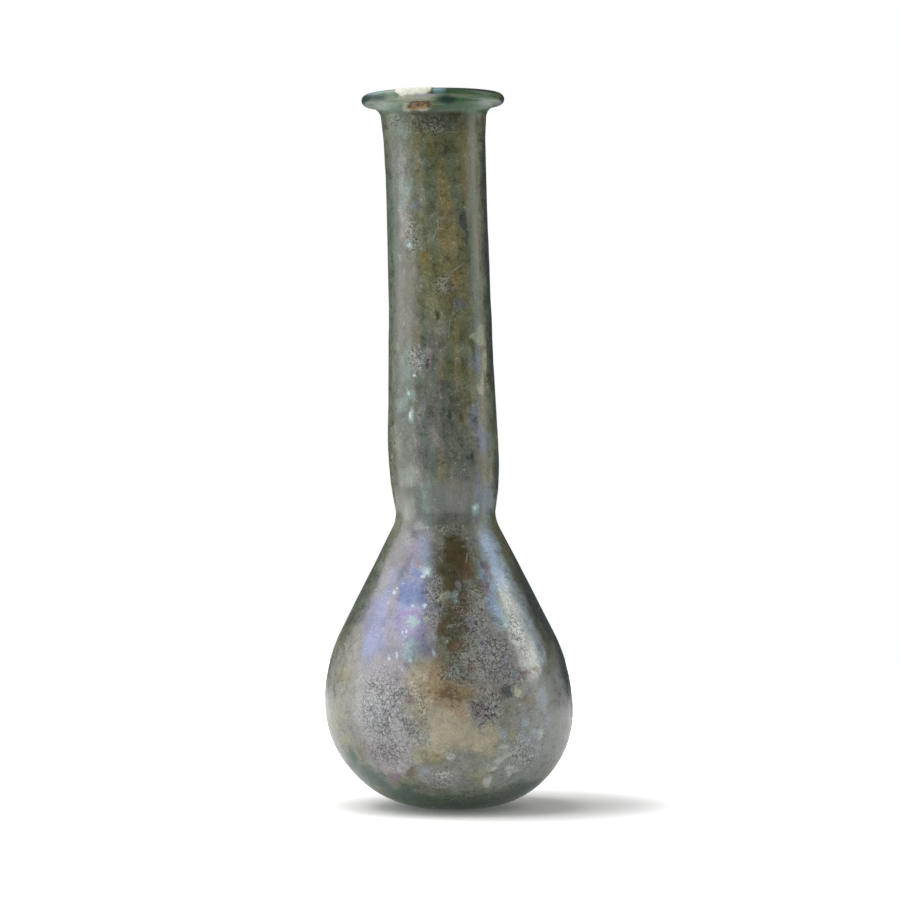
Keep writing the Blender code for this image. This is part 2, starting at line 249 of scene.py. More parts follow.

# Deposits and films on the rim, with painted highlights and a painted reflection
CRUST = "cream crust on the rim"
RIM_STAINS = [
    Stain("green of the rim's right side", (0.050, 0.125, 0.045), 0.80, 0.05, 0.40, 0.30, [
        (8, 138, 8, 2),
    ]),
    # Painted reflection: a grey blue patch on the rim's right underside
    Stain("grey blue painted reflection on the rim", (0.085, 0.135, 0.130), 0.70, 0.10, 0.50, 0.50, [
        (11.2, 137.7, 1.5, 0.6),
    ]),
    Stain("dark teal of the rim", (0.008, 0.032, 0.026), 0.95, 0.02, 0.45, 0.35, [
        (-17, 138.8, 7, 0.75), (3, 137.8, 1.6, 0.8), (15, 139.7, 10, 0.30), (20.5, 138.6, 4.4, 1.3),
    ]),
    # Painted highlight: pale blue along the rim's top left edge
    Stain("blue painted highlight of the rim", (0.240, 0.380, 0.430), 0.80, 0.25, 0.50, 0.40, [
        (-13, 139.75, 4.4, 0.34), (1.2, 139.4, 1.3, 0.7),
    ]),
    Stain("yellow green of the rim", (0.150, 0.200, 0.085), 0.60, 0.05, 0.60, 0.40, [
        (16, 139, 1.6, 0.5), (5.5, 138.6, 2.6, 0.4),
    ]),
    Stain("white green haze of the rim", (0.230, 0.310, 0.220), 0.70, 0.10, 0.60, 0.60, [
        (-8.4, 138.4, 1.5, 1.2),
    ]),
    Stain("pale earth on the rim", (0.385, 0.390, 0.290), 0.90, 0.00, 0.30, 0.90, [
        (-3.4, 138.2, 3.6, 1), (-4.6, 137.2, 2, 1, 30), (-2, 136.2, 1.6, 0.4),
    ]),
    Stain(CRUST, (0.960, 0.960, 0.830), 0.97, 0.00, 0.18, 0.80, [
        (-5.4, 139.9, 2.1, 1.25), (-3.8, 139.9, 2.9, 1.20), (-2.2, 139.9, 2.1, 1.25),
    ]),
    Stain("lilac line on the rim", (0.330, 0.310, 0.370), 0.75, 0.00, 0.50, 1.10, [
        (-1.7, 138.5, 2.8, 0.28),
    ]),
    Stain("orange brown deposit", (0.345, 0.175, 0.040), 0.95, 0.00, 0.22, 0.90, [
        (-2.7, 136.95, 2.5, 0.62), (-3.9, 136.6, 1.3, 0.5),
    ]),
    Stain("pits in the deposit", (0.055, 0.024, 0.008), 0.92, 0.00, 0.40, 1.40, [
        (-2.8, 137.46, 2.4, 0.20), (-4.6, 137.1, 0.5, 0.4), (-0.8, 137, 0.5, 0.4), (-3.8, 136.4, 1, 0.16),
        (-3.2, 136.9, 0.7, 0.14, 10), (-1.9, 137.1, 0.4, 0.2),
    ]),
]

# Small bright spots, too fine for the mesh
SMALL_SPOTS = Stain("white aqua spots", (0.520, 0.620, 0.660), 0.80, 0.30, 0.80, 2.20, [
    (-3.9, 46.7, 0.60, 0.6, -30), (-4.6, 45.8, 0.3, 0.3), (-7.2, 30.1, 0.30, 0.3),
    (-6.1, 110, 0.28, 0.35, -20), (-6.9, 81.1, 0.25, 0.28), (-6.6, 76.9, 0.2, 0.5),
    (11.9, 36.6, 0.35, 0.35), (-4.3, 40.3, 0.35, 0.4), (-6.7, 40.2, 0.25, 0.25), (-5.5, 84.6, 0.25, 0.2),
    (6.1, 58.8, 0.25, 0.3), (-10.8, 42.6, 0.4, 0.3), (-10.2, 43.4, 0.2, 0.2), (-8.8, 35.3, 0.2, 0.2),
    (-8, 35.4, 0.15, 0.25), (-9.9, 31, 0.16, 0.5), (-11.7, 30.3, 0.2, 0.4), (-2.6, 31.6, 0.2, 0.6, 20),
])

# Thin scratches and bright lines
SCRATCHES = Stain("scratches", (0.360, 0.370, 0.310), 0.55, 0.10, 0.50, 0.80, [
    (0.1, 113.6, 0.10, 1.7, -3), (-0.7, 111.6, 0.10, 1, -24), (1, 103.3, 1.1, 0.09),
    (3.5, 105.3, 1.6, 0.12, 32), (2.8, 98, 0.09, 1.6), (1.8, 94, 0.09, 2, -8),
    (-8.8, 107.9, 0.16, 0.8, 28), (-7.5, 104.7, 0.12, 0.9), (-12.7, 107.6, 0.18, 1.5, 6),
    (4, 49.3, 0.13, 1, -10), (3.2, 32.9, 0.5, 0.1, 30), (0.6, 102, 0.12, 1, -40),
    (-4.3, 134.6, 0.12, 0.7, -40),
])

# Where light and dark specks crowd together, and where the film is crackled
SPECKLED = [
    (5.4, 39, 2.8, 6), (6, 29.5, 5.5, 4.5), (7.5, 21.5, 3.5, 4), (0.5, 54.6, 3, 1.2),
    (-2.2, 41.5, 1.8, 6.5), (1.5, 27.5, 3.5, 2.4), (1.8, 40.2, 1.6, 1.4), (1.6, 36, 1.4, 1.6),
    (3.6, 33.6, 1.6, 1.6), (-5.4, 21, 1.6, 4.5), (1.5, 102, 2.5, 2), (-5.4, 112, 1.6, 4),
    (-0.5, 133, 5, 2), (-5.5, 87.5, 2, 2.5), (-8.5, 134.5, 2.4, 1.4),
]
CRACKLED = [
    (-13.6, 21, 5.6, 6.6), (-12.5, 12.8, 5, 2.6), (-5.6, 15.4, 2.2, 1.8), (-8.5, 24.4, 1.4, 2),
    (15.2, 35, 2, 5, 18), (-8, 17, 1.6, 2.4), (13.5, 27, 4, 2.4), (-4.4, 88, 1.2, 1.8),
    (-2, 7.2, 3.4, 1.6), (9, 31, 4, 5), (15, 12, 4, 3),
]

# Where the film lies smooth, with a gloss and few specks
SMOOTH = [
    (-11, 52, 3, 6), (18, 38, 1.6, 8, 18), (-9, 44, 6, 9.5, -10), (-13, 34, 6, 7, -14), (-6, 33, 4, 5),
    (-1.5, 18, 3, 4), (3, 16.5, 6, 3.4), (1.8, 49.5, 3, 3.8), (-8.2, 98, 3.6, 12), (0, 60, 7, 4),
    (9, 112, 3, 22), (9.5, 64, 4, 12), (27, 22, 5, 12), (-9, 62, 4, 7),
]

OLIVE_FILM = (0.118, 0.120, 0.064, 1.0)
GREY_FILM = (0.165, 0.178, 0.145, 1.0)
# Dark green of the foot: painted shade where the vessel meets the floor, over the foot's clearer glass
FOOT_SHADE_GLASS = (0.026, 0.066, 0.027, 1.0)
INNER_FILM = (0.150, 0.155, 0.115, 1.0)
RIM_GLASS = (0.030, 0.082, 0.040, 1.0)
PALE_RIM_GLASS = (0.150, 0.225, 0.150, 1.0)
DARK_PIT = (0.022, 0.024, 0.016, 1.0)
PALE_SPECK = (0.400, 0.395, 0.350, 1.0)
PALE_PLATE = (0.480, 0.475, 0.480, 1.0)
BRIGHT_SPECK = (0.700, 0.740, 0.780, 1.0)
GREEN_STREAK = (0.82, 0.92, 0.82, 1.0)
WARM_STREAK = (1.20, 1.12, 1.00, 1.0)
CRACK = (0.032, 0.038, 0.034, 1.0)
WHITE = (1.0, 1.0, 1.0, 1.0)
FILM_SHEEN = 0.14

# Noises worked out in the shader: features a millimetre, detail, roughness and distortion
EDGE_NOISE = (1.1, 4.0, 0.75)
MOTTLE_NOISE = (0.55, 4.0, 0.65)
CLOUD_NOISE = (0.16, 4.0, 0.6)
GRAIN_NOISE = (2.0, 2.0, 0.75, 1.0)
GRIT_NOISE = (2.8, 1.0, 0.6)

# Soft steps of the looks: where they start and end, and their values there unless those are 0 and 1
CLOUD_STEP = (0.40, 0.60)
STREAK_STEP = (-0.45, 0.45)
GRIT_TONE = (0.38, 0.62, 0.82, 1.20)
MOTTLE_TONE = (0.30, 0.70, 0.78, 1.24)
CLUMP_STEP = (0.36, 0.54, 0.35, 1.0)
PIT_STEP = (0.49, 0.42)
SPECK_STEP = (0.032, 0.014)
CLUSTER_STEP = (0.50, 0.60, 0.0, 0.60)
DOT_STEP = (0.69, 0.75)
CRACK_STEP = (0.080, 0.034)
WORM_STEP = (0.022, 0.008)
PLATE_STEP = (0.42, 0.60, 0.05, 0.55)
CRACKLE_STEP = (0.38, 0.52, 0.05, 1.0)
RIM_STREAK_STEP = (-0.25, 0.30)
RIM_TONE = (-0.20, 0.20, 0.84, 1.10)
ROUGHNESS_STEP = (0.30, 0.70, 0.24, 0.42)

# Steps by height, in millimetres: the neck's streaks, the foot's painted shade and the clearer rim
NECK_STEP = (50.0, 62.0)
FOOT_STEP = (5.5, 1.5)
RIM_STEP = (135.2, 136.6)

# Cells between the cracks a millimetre, how far noise bends them in millimetres, and how ragged
# the cracks, the edge of the foot's painted shade and the rim's streaks are
CRACK_SCALE = 0.95
CRACK_BEND = 1.6
CRACK_RAGGEDNESS = 0.40
FOOT_RAGGEDNESS = 3.0
RIM_RAGGEDNESS = 0.4

# Levels of the noise along which pale specks and fine dark worms run
SPECK_RIDGE = 0.57
WORM_RIDGE = -0.04

# How much the marks cover, and how much of the tone the smooth film loses
PIT_COVER = 0.88
SPECK_COVER = 0.80
CRACK_COVER = 0.84
CALM_COVER = 0.40

# Softness and raggedness of the edges of the zones
SPECKLED_EDGE = (0.45, 0.5)
SMOOTH_EDGE = (0.45, 0.5)
CRACKLED_EDGE = (0.30, 0.8)
CRUST_EDGE = (0.14, 0.3)

# Sheen, roughness, clearness and bump of the film, the rim, the crust and the foot under its painted shade
RIM_SHEEN = 0.05
SPECKLED_DULLING = 0.8
SPECKLED_ROUGHNESS = 0.55
RIM_ROUGHNESS = 0.34
CRUST_ROUGHNESS = 0.85
FILM_CLEARNESS = 0.08
RIM_CLEARNESS = 0.26
FOOT_CLEARNESS = 0.25
FILM_BUMP = 0.28
SMOOTH_BUMP = 0.12
BUMP_HEIGHT = 0.00006

# Colour that the glass gives to light, and how strongly
GLASS_TINT = (0.35, 0.75, 0.50, 1.0)
GLASS_DENSITY = 350.0

# Sizes of the vessel's outline, in millimetres, as on the solid that the piece replaces
HEIGHT = 140.0
BASE_RADIUS = 6.5
BASE_TURN = math.radians(6.0)
BODY_RADIUS = 24.43
BELLY_HEIGHT = 19.76
SHOULDER_ARC = 33.3
SHOULDER_SLOPE = math.radians(27.0)
WAIST_FILLET = 6.2
WAIST_PINCH = 0.15
NECK_RADIUS = 9.97
RIM_RADIUS = 14.06
RIM_THICKNESS = 2.1
RIM_EDGE = 0.99
RIM_FLARE = 2.7
RIM_DISH = 0.4
RIM_TILT = math.radians(0.87)
MOUTH_ROUND = 1.2
BASE_WALL = 3.0
BODY_WALL = 1.5
NECK_WALL = 1.8

# The neck's swell: share of the neck's length, and millimetres added to its radius
NECK_SWELL = [
    (0.000, -WAIST_PINCH), (0.075, 0.71), (0.166, 0.96), (0.283, 0.68),
    (0.478, 0.24), (0.777, 0.00), (0.945, 0.15), (1.000, 0.41),
]

# The vessel's lean: share of the height, and millimetres to the side
LEAN = [
    (0.000, 1.0), (0.070, 0.5), (BELLY_HEIGHT / HEIGHT, 0.0), (0.220, -0.3), (0.360, -0.5),
    (0.430, -0.7), (0.570, -1.4), (0.710, -1.8), (0.850, -2.4), (1.000, -3.2),
]

# Faces around the vessel, and rings along each stretch of its wall
SEGMENTS = 384
BASE_RINGS = 4
BODY_RINGS = 56
SHOULDER_RINGS = 26
CONE_RINGS = 26
WAIST_RINGS = 8
NECK_RINGS = 70
FLARE_RINGS = 9
EDGE_RINGS = 16
LIP_RINGS = 6
MOUTH_RINGS = 6
INNER_RINGS = 28

# Noises worked out on the mesh: features a millimetre, octaves, and a shift that sets them apart
Cloud = namedtuple("Cloud", "scale octaves shift")
WANDER_ACROSS = Cloud(0.30, 3, 11.3)
WANDER_UP = Cloud(0.30, 3, 23.9)
STREAKS = Cloud(0.60, 4, 5.5)
RIM_STREAKS = Cloud(0.90, 3, 8.9)
PITTING = Cloud(0.85, 2, 31.7)
WAVER = Cloud(0.09, 2, 3.1)
RIPPLE = Cloud(0.45, 3, 7.7)

# How each further octave weakens, and how much finer it is
NOISE_FALLOFF = 1.0
NOISE_GAP = 2.0

# How far crusts stand up from the wall and pits sink into it, in millimetres
RELIEF = {
    CRUST: 0.14, "pale earth on the rim": 0.05, "orange brown deposit": 0.12,
    "pits in the deposit": -0.16, "yellow white crust": 0.08, "pale smooth blobs": 0.05,
    "pale blobs of the low belly": 0.04, "dark spots": -0.07, "dark purple": -0.03,
    "rust brown": 0.03,
}
PITTING_DEPTH = 0.06

# Reach within which relief starts, over which it grows and within which the film is pitted, and how
# many rings beside the base stay plain
RELIEF_REACH = 1.3
RELIEF_FADE = 0.6
PITTED_REACH = 1.5
PLAIN_RINGS = 2

# How far streaks are drawn out: up the neck and around the rim
STREAK_SQUASH = 0.08
RIM_SQUASH = 0.12

# How much the blown wall wavers, and how far it sinks, so that it stays within the solid
WAVER_DEPTH = 0.10
WAVER_PULL = 0.4
WAVER_START = 3.0
RIPPLE_DEPTH = 0.035
WALL_SINK = 0.03

# How far the edges of the stains wander, and where the wandering dies out under the rim
WANDER = 1.1
WANDER_END = (131.0, 135.0)
RIM_WANDER = 0.12
FAR = 9.0

# One in so many spots comes again on the hidden side
HIDDEN_STEP = 3

# Camera, at the photograph's viewing angle
CAMERA_PLACE = (0.000215, -0.650, 0.0701)
SENSOR_WIDTH = 36.0
FOCAL_LENGTH = 132.1

# Floor, its glow, and the shadow that the camera sees on it, partly painted by a glow that only the camera
# sees, dimmer near the vessel; in metres
FLOOR_RADIUS = 0.45
FLOOR_SIDES = 96
FLOOR_DROP = 0.0001
FLOOR_COLOUR = (0.90, 0.90, 0.895, 1.0)
GLOW_REACH = (0.03, 0.30)
GLOW_STRENGTH = (0.16, 0.80)
PAINTED_SHADOW_PLACE = (0.008, 0.004, 0.0)
PAINTED_SHADOW_REACH = (0.026, 0.056)
PAINTED_SHADOW_GLOW = (0.09, 0.90)

# Light of the sky from the horizon to the zenith, and what shows through the glass
SKY_RISE = (0.05, 0.95)
SKY_LIGHT = (0.12, 0.35)
LIGHT_THROUGH_GLASS = 0.6

# Softboxes: name, degrees leftwards from the camera, degrees up, distance, width, height and
# radiance; and the height that they face
SOFTBOXES = [
    ("left_softbox", 86.0, 27.0, 0.70, 0.95, 1.00, 1.8),
    ("right_strip", -93.0, 22.0, 0.60, 0.26, 0.80, 1.9),
    ("top_softbox", 78.0, 70.0, 0.80, 0.65, 0.65, 3.6),
]
LIGHT_AIM = 0.07


def smooth_curve(stations, places):
    """Values at the places on a smooth curve through (place, value) stations."""
    at = np.array([station[0] for station in stations])
    value = np.array([station[1] for station in stations])
    slope = np.empty(len(at))
    slope[1:-1] = (value[2:] - value[:-2]) / (at[2:] - at[:-2])
    slope[0] = (value[1] - value[0]) / (at[1] - at[0])
    slope[-1] = (value[-1] - value[-2]) / (at[-1] - at[-2])
    index = np.clip(np.searchsorted(at, places, side="right") - 1, 0, len(at) - 2)
    span = at[index + 1] - at[index]
    share = np.clip((places - at[index]) / span, 0.0, 1.0)
    rest = 1.0 - share
    from_ends = value[index] * rest**2 * (1.0 + 2.0 * share)
    from_ends += value[index + 1] * share**2 * (3.0 - 2.0 * share)
    from_slopes = slope[index] * share * rest**2 - slope[index + 1] * share**2 * rest
    return from_ends + from_slopes * span


def stretch(start, end, count):
    """Evenly spaced values after the first one, up to the last one."""
    return np.linspace(start, end, count + 1)[1:]


def outer_outline():
    """(radius, height) along the outer wall, from the base's edge to the neck's top."""
    height_reach = BELLY_HEIGHT / math.cos(BASE_TURN)
    radius_reach = (BODY_RADIUS - BASE_RADIUS) / (1.0 - math.sin(BASE_TURN))
    angle = np.concatenate(([BASE_TURN], stretch(BASE_TURN, math.pi / 2.0, BODY_RINGS)))
    radii = [BODY_RADIUS - radius_reach * (1.0 - np.sin(angle))]
    heights = [BELLY_HEIGHT - height_reach * np.cos(angle)]
    angle = stretch(0.0, SHOULDER_SLOPE, SHOULDER_RINGS)
    radii.append(BODY_RADIUS - SHOULDER_ARC * (1.0 - np.cos(angle)))
    heights.append(BELLY_HEIGHT + SHOULDER_ARC * np.sin(angle))
    waist_radius = NECK_RADIUS - WAIST_PINCH
    fillet_start = waist_radius + WAIST_FILLET * (1.0 - math.cos(SHOULDER_SLOPE))
    share = stretch(0.0, 1.0, CONE_RINGS)
    radii.append(radii[-1][-1] + (fillet_start - radii[-1][-1]) * share)
    cone_height = (radii[-2][-1] - fillet_start) / math.tan(SHOULDER_SLOPE)
    heights.append(heights[-1][-1] + cone_height * share)
    angle = stretch(SHOULDER_SLOPE, 0.0, WAIST_RINGS)
    waist_height = heights[-1][-1] + WAIST_FILLET * math.sin(SHOULDER_SLOPE)
    radii.append(waist_radius + WAIST_FILLET * (1.0 - np.cos(angle)))
    heights.append(waist_height - WAIST_FILLET * np.sin(angle))
    share = stretch(0.0, 1.0, NECK_RINGS)
    radii.append(NECK_RADIUS + smooth_curve(NECK_SWELL, share))
    heights.append(waist_height + share * (HEIGHT - RIM_THICKNESS - RIM_FLARE - waist_height))
    return np.concatenate(radii), np.concatenate(heights), waist_height


def rim_outline(neck_radius, neck_height):
    """(radius, height) from under the rim, round its edge and over its top into the mouth."""
    edge_start = RIM_RADIUS - RIM_EDGE
    angle = stretch(0.0, math.pi / 2.0, FLARE_RINGS)
    radii = [neck_radius + (edge_start - neck_radius) * (1.0 - np.cos(angle))]
    heights = [neck_height + RIM_FLARE * np.sin(angle)]
    angle = stretch(-math.pi / 2.0, math.pi / 2.0, EDGE_RINGS)
    radii.append(edge_start + RIM_EDGE * np.cos(angle))
    heights.append(HEIGHT - RIM_THICKNESS / 2.0 * (1.0 - np.sin(angle)))
    bore_radius = neck_radius - NECK_WALL
    share = stretch(0.0, 1.0, LIP_RINGS)
    radii.append(edge_start + (bore_radius + MOUTH_ROUND - edge_start) * share)
    heights.append(HEIGHT - RIM_DISH * share)
    angle = stretch(0.0, math.pi / 2.0, MOUTH_RINGS)
    radii.append(bore_radius + MOUTH_ROUND * (1.0 - np.sin(angle)))
    heights.append(HEIGHT - RIM_DISH - MOUTH_ROUND * (1.0 - np.cos(angle)))
    return np.concatenate(radii), np.concatenate(heights)


def inner_outline(radii, heights, waist_height):
    """(radius, height) of the hollow, from the neck's top down to the floor's edge."""
    low_share = np.clip(heights / BELLY_HEIGHT, 0.0, 1.0)
    high_share = np.clip((heights - BELLY_HEIGHT) / (waist_height - BELLY_HEIGHT), 0.0, 1.0)
    low_wall = BASE_WALL + (BODY_WALL - BASE_WALL) * np.sin(low_share * math.pi / 2.0)
    wall = low_wall + (NECK_WALL - BODY_WALL) * high_share
    along_radius = np.gradient(radii)
    along_height = np.gradient(heights)
    length = np.hypot(along_radius, along_height)
    inner_radii = radii - wall * along_height / length
    inner_heights = heights + wall * along_radius / length
    inner_heights[0] = BASE_WALL
    inner_radii[-1] = radii[-1] - NECK_WALL
    inner_heights[-1] = heights[-1]
    chosen = np.round(np.linspace(len(radii) - 1, 0, INNER_RINGS)).astype(int)
    return inner_radii[chosen], inner_heights[chosen]


def soft_noise(points, cloud):
    """Smooth noise of about -1 to 1 at the points."""
    shift = np.array([cloud.shift, -cloud.shift, 2.0 * cloud.shift])
    return np.array([
        blender_noise.fractal(point, NOISE_FALLOFF, NOISE_GAP, cloud.octaves, noise_basis="PERLIN_ORIGINAL")
        for point in points * cloud.scale + shift
    ])


def spot_reach(spot, across, up):
    """How far each point is from the middle of the spot, in half sizes of the spot."""
    spot_across, spot_up, wide, tall, *slant = spot
    angle = math.radians(slant[0] if slant else 0.0)
    cosine, sine = math.cos(angle), math.sin(angle)
    sideways, lift = across - spot_across, up - spot_up
    return np.hypot((sideways * cosine + lift * sine) / wide, (lift * cosine - sideways * sine) / tall)


def reach_field(spots, turn, girth, wander, up, hidden_side):
    """Reach to the nearest spot; on the hidden side some of the spots come again, mirrored."""
    nearest = np.full(len(up), FAR)
    hidden_turn = np.where(turn > 0.0, math.pi - turn, -math.pi - turn)
    in_front = FAR * np.clip(1.0 - np.abs(turn) / (math.pi / 2.0), 0.0, 1.0)
    for number, spot in enumerate(spots):
        nearest = np.minimum(nearest, spot_reach(spot, turn * girth + wander, up))
        if hidden_side and number % HIDDEN_STEP == 0:
            hidden_reach = spot_reach(spot, hidden_turn * girth + wander, up)
            nearest = np.minimum(nearest, hidden_reach + in_front)
    return nearest


def stain_fields(turn, girth, ring_height, flat):
    """The reach of every stain and zone, and the streaks, at each point of the outside."""
    damp = np.clip((WANDER_END[1] - ring_height) / (WANDER_END[1] - WANDER_END[0]), RIM_WANDER, 1.0)
    wander = soft_noise(flat, WANDER_ACROSS) * WANDER * damp
    up = ring_height + soft_noise(flat, WANDER_UP) * WANDER * damp
    zones = [(stain.name, stain.spots, True) for stain in WASHES + STAINS]
    zones += [(stain.name, stain.spots, False) for stain in RIM_STAINS]
    zones += [("speckled", SPECKLED, True), ("crackled", CRACKLED, True), ("smooth", SMOOTH, True)]
    fields = {}
    for name, spots, hidden_side in zones:
        fields[name] = reach_field(spots, turn, girth, wander, up, hidden_side)
    fields["streaks"] = soft_noise(flat * (1.0, 1.0, STREAK_SQUASH), STREAKS)
    fields["rim streaks"] = soft_noise(flat * (RIM_SQUASH, RIM_SQUASH, 1.0), RIM_STREAKS)
    return fields


def relief(fields, flat):
    """How far each point of the outside stands up from the wall or sinks into it."""
    height = np.zeros(len(flat))
    for name, rise in RELIEF.items():
        cover = np.clip((RELIEF_REACH - fields[name]) / RELIEF_FADE, 0.0, 1.0)
        height += rise * cover * cover * (3.0 - 2.0 * cover)
    pitted = np.clip(PITTED_REACH - np.minimum(fields["speckled"], fields["crackled"]), 0.0, 1.0)
    return height + PITTING_DEPTH * pitted * np.minimum(soft_noise(flat, PITTING), 0.0)


def vessel_rings():
    """Radius and height of every ring, and how many rings reach the wall's top and the outside's end."""
    radii, heights, waist_height = outer_outline()
    rim_radii, rim_heights = rim_outline(radii[-1], heights[-1])
    inner_radii, inner_heights = inner_outline(radii, heights, waist_height)
    base_share = np.arange(1, BASE_RINGS) / BASE_RINGS
    ring_radius = np.concatenate((base_share * BASE_RADIUS, radii, rim_radii, inner_radii))
    ring_height = np.concatenate((np.zeros(BASE_RINGS - 1), heights, rim_heights, inner_heights))
    wall_end = BASE_RINGS - 1 + len(radii)
    return ring_radius, ring_height, wall_end, wall_end + len(rim_radii)


def sink_wall(grid, around, wall_end):
    """Lets the blown wall waver inwards, more and more from the base up."""
    wall = slice(BASE_RINGS - 1, wall_end + FLARE_RINGS)
    points = grid[wall].reshape(-1, 3)
    waver = soft_noise(points, WAVER) * WAVER_DEPTH
    ripple = soft_noise(points, RIPPLE) * RIPPLE_DEPTH
    sink = np.minimum((waver + ripple).reshape(-1, SEGMENTS) - WAVER_PULL * WAVER_DEPTH, 0.0) - WALL_SINK
    off_base = np.clip(grid[wall][..., 2] / WAVER_START, 0.0, 1.0)
    grid[wall][..., :2] += around[None] * (sink * off_base)[..., None]


def raise_relief(grid, around, ring_radius, ring_height, rise, outer_end):
    """Moves the points of the outside square to the wall, out for crusts and in for pits."""
    raised = slice(BASE_RINGS + PLAIN_RINGS, outer_end)
    along_radius, along_height = np.gradient(ring_radius[raised]), np.gradient(ring_height[raised])
    length = np.hypot(along_radius, along_height)
    rise = rise.reshape(-1, SEGMENTS)[raised]
    grid[raised][..., :2] += around[None] * (rise * (along_height / length)[:, None])[..., None]
    grid[raised][..., 2] -= rise * (along_radius / length)[:, None]


def lean(grid):
    """Shifts the rings onto the leaning middle line, and tilts those of the upper half."""
    share = grid[..., 2] / HEIGHT
    tilt = RIM_TILT * np.maximum(share * 2.0 - 1.0, 0.0)
    sideways = grid[..., 0].copy()
    grid[..., 0] = smooth_curve(LEAN, share.ravel()).reshape(share.shape) + sideways * np.cos(tilt)
    grid[..., 2] += sideways * np.sin(tilt)


def vessel_faces(count):
    """Faces between the rings, and the fans that close the base below and inside."""
    foot, floor = count * SEGMENTS, count * SEGMENTS + 1
    corner = np.arange(count * SEGMENTS).reshape(count, SEGMENTS)
    after = np.roll(corner, -1, axis=1)
    faces = np.stack((corner[:-1], after[:-1], after[1:], corner[1:]), axis=-1).reshape(-1, 4).tolist()
    faces += [(end, start, foot) for start, end in zip(corner[0].tolist(), after[0].tolist())]
    faces += [(start, end, floor) for start, end in zip(corner[-1].tolist(), after[-1].tolist())]
    return faces


def keep_field(mesh, name, values):
    """Keeps one number on each point of the mesh."""
    mesh.attributes.new(name, "FLOAT", "POINT").data.foreach_set("value", values)


def keep_places(mesh, turn, ring_radius, ring_height, outer_count):
    """Keeps on each point its direction and height, its girth, and whether it lies inside."""
    place = np.empty((len(mesh.vertices), 3))
    place[:-2, 0] = np.tile(np.sin(turn), len(ring_radius))
    place[:-2, 1] = np.tile(np.cos(turn), len(ring_radius))
    place[:-2, 2] = np.repeat(ring_height, SEGMENTS)
    place[-2:] = ((0.0, 1.0, 0.0), (0.0, 1.0, BASE_WALL))
    inside = np.zeros(len(place))
    inside[outer_count:-2] = 1.0
    inside[-1] = 1.0
    mesh.attributes.new("place", "FLOAT_VECTOR", "POINT").data.foreach_set("vector", place.ravel())
    keep_field(mesh, "girth", np.concatenate((np.repeat(ring_radius, SEGMENTS), [0.0, 0.0])))
    keep_field(mesh, "inside", inside)


def vessel_mesh():
    """The whole vessel as rings around its leaning middle line, outside and inside."""
    ring_radius, ring_height, wall_end, outer_end = vessel_rings()
    count, outer_count = len(ring_radius), outer_end * SEGMENTS
    turn = np.arange(SEGMENTS) * (2.0 * math.pi / SEGMENTS)
    around = np.stack((np.sin(turn), -np.cos(turn)), axis=1)
    grid = np.empty((count, SEGMENTS, 3))
    grid[..., :2] = ring_radius[:, None, None] * around[None]
    grid[..., 2] = ring_height[:, None]
    flat = grid.reshape(-1, 3)[:outer_count].copy()
    outer_turn = np.tile(np.arctan2(np.sin(turn), np.cos(turn)), outer_end)
    fields = stain_fields(outer_turn, np.repeat(ring_radius, SEGMENTS)[:outer_count], flat[:, 2], flat)

    sink_wall(grid, around, wall_end)
    raise_relief(grid, around, ring_radius, ring_height, relief(fields, flat), outer_end)
    lean(grid)
    middle = LEAN[0][1]
    points = np.concatenate((grid.reshape(-1, 3), [[middle, 0.0, 0.0], [middle, 0.0, BASE_WALL]]))
    mesh = bpy.data.meshes.new("unguentarium")
    mesh.from_pydata((points * MM).tolist(), [], vessel_faces(count))

    keep_places(mesh, turn, ring_radius, ring_height, outer_count)
    for name, reach in fields.items():
        values = np.full(len(points), FAR)
        values[:outer_count] = reach
        keep_field(mesh, name, values)
    mesh.shade_smooth()
    mesh.update()
    return mesh


class Nodes:
    """Adds nodes to one node tree and joins them."""

    def __init__(self, tree):
        self.tree = tree

    def node(self, kind, inputs, **settings):
        """A new node with its inputs linked or set."""
        node = self.tree.nodes.new(kind)
        for name, value in settings.items():
            setattr(node, name, value)
        for name, value in inputs.items():
            if isinstance(value, bpy.types.NodeSocket):
                self.tree.links.new(value, node.inputs[name])
            else:
                node.inputs[name].default_value = value
        return node

    def sum(self, operation, first, second=0.0, third=0.0):
        """The result of a sum of up to three numbers."""
        node = self.node("ShaderNodeMath", {0: first, 1: second, 2: third}, operation=operation)
        return node.outputs[0]

    def step(self, value, low, high, start=0.0, end=1.0):
        """A soft step from start to end as the value goes from low to high."""
        inputs = {"Value": value, "From Min": low, "From Max": high, "To Min": start, "To Max": end}
        return self.node("ShaderNodeMapRange", inputs, interpolation_type="SMOOTHSTEP").outputs["Result"]

    def mix(self, share, below, above):
        """Two numbers mixed by the share."""
        return self.node("ShaderNodeMix", {0: share, 2: below, 3: above}, data_type="FLOAT").outputs[0]

    def blend(self, share, below, above, mode="MIX"):
        """Two colours mixed by the share."""
        node = self.node("ShaderNodeMix", {0: share, 6: below, 7: above}, data_type="RGBA", blend_type=mode)
        return node.outputs[2]


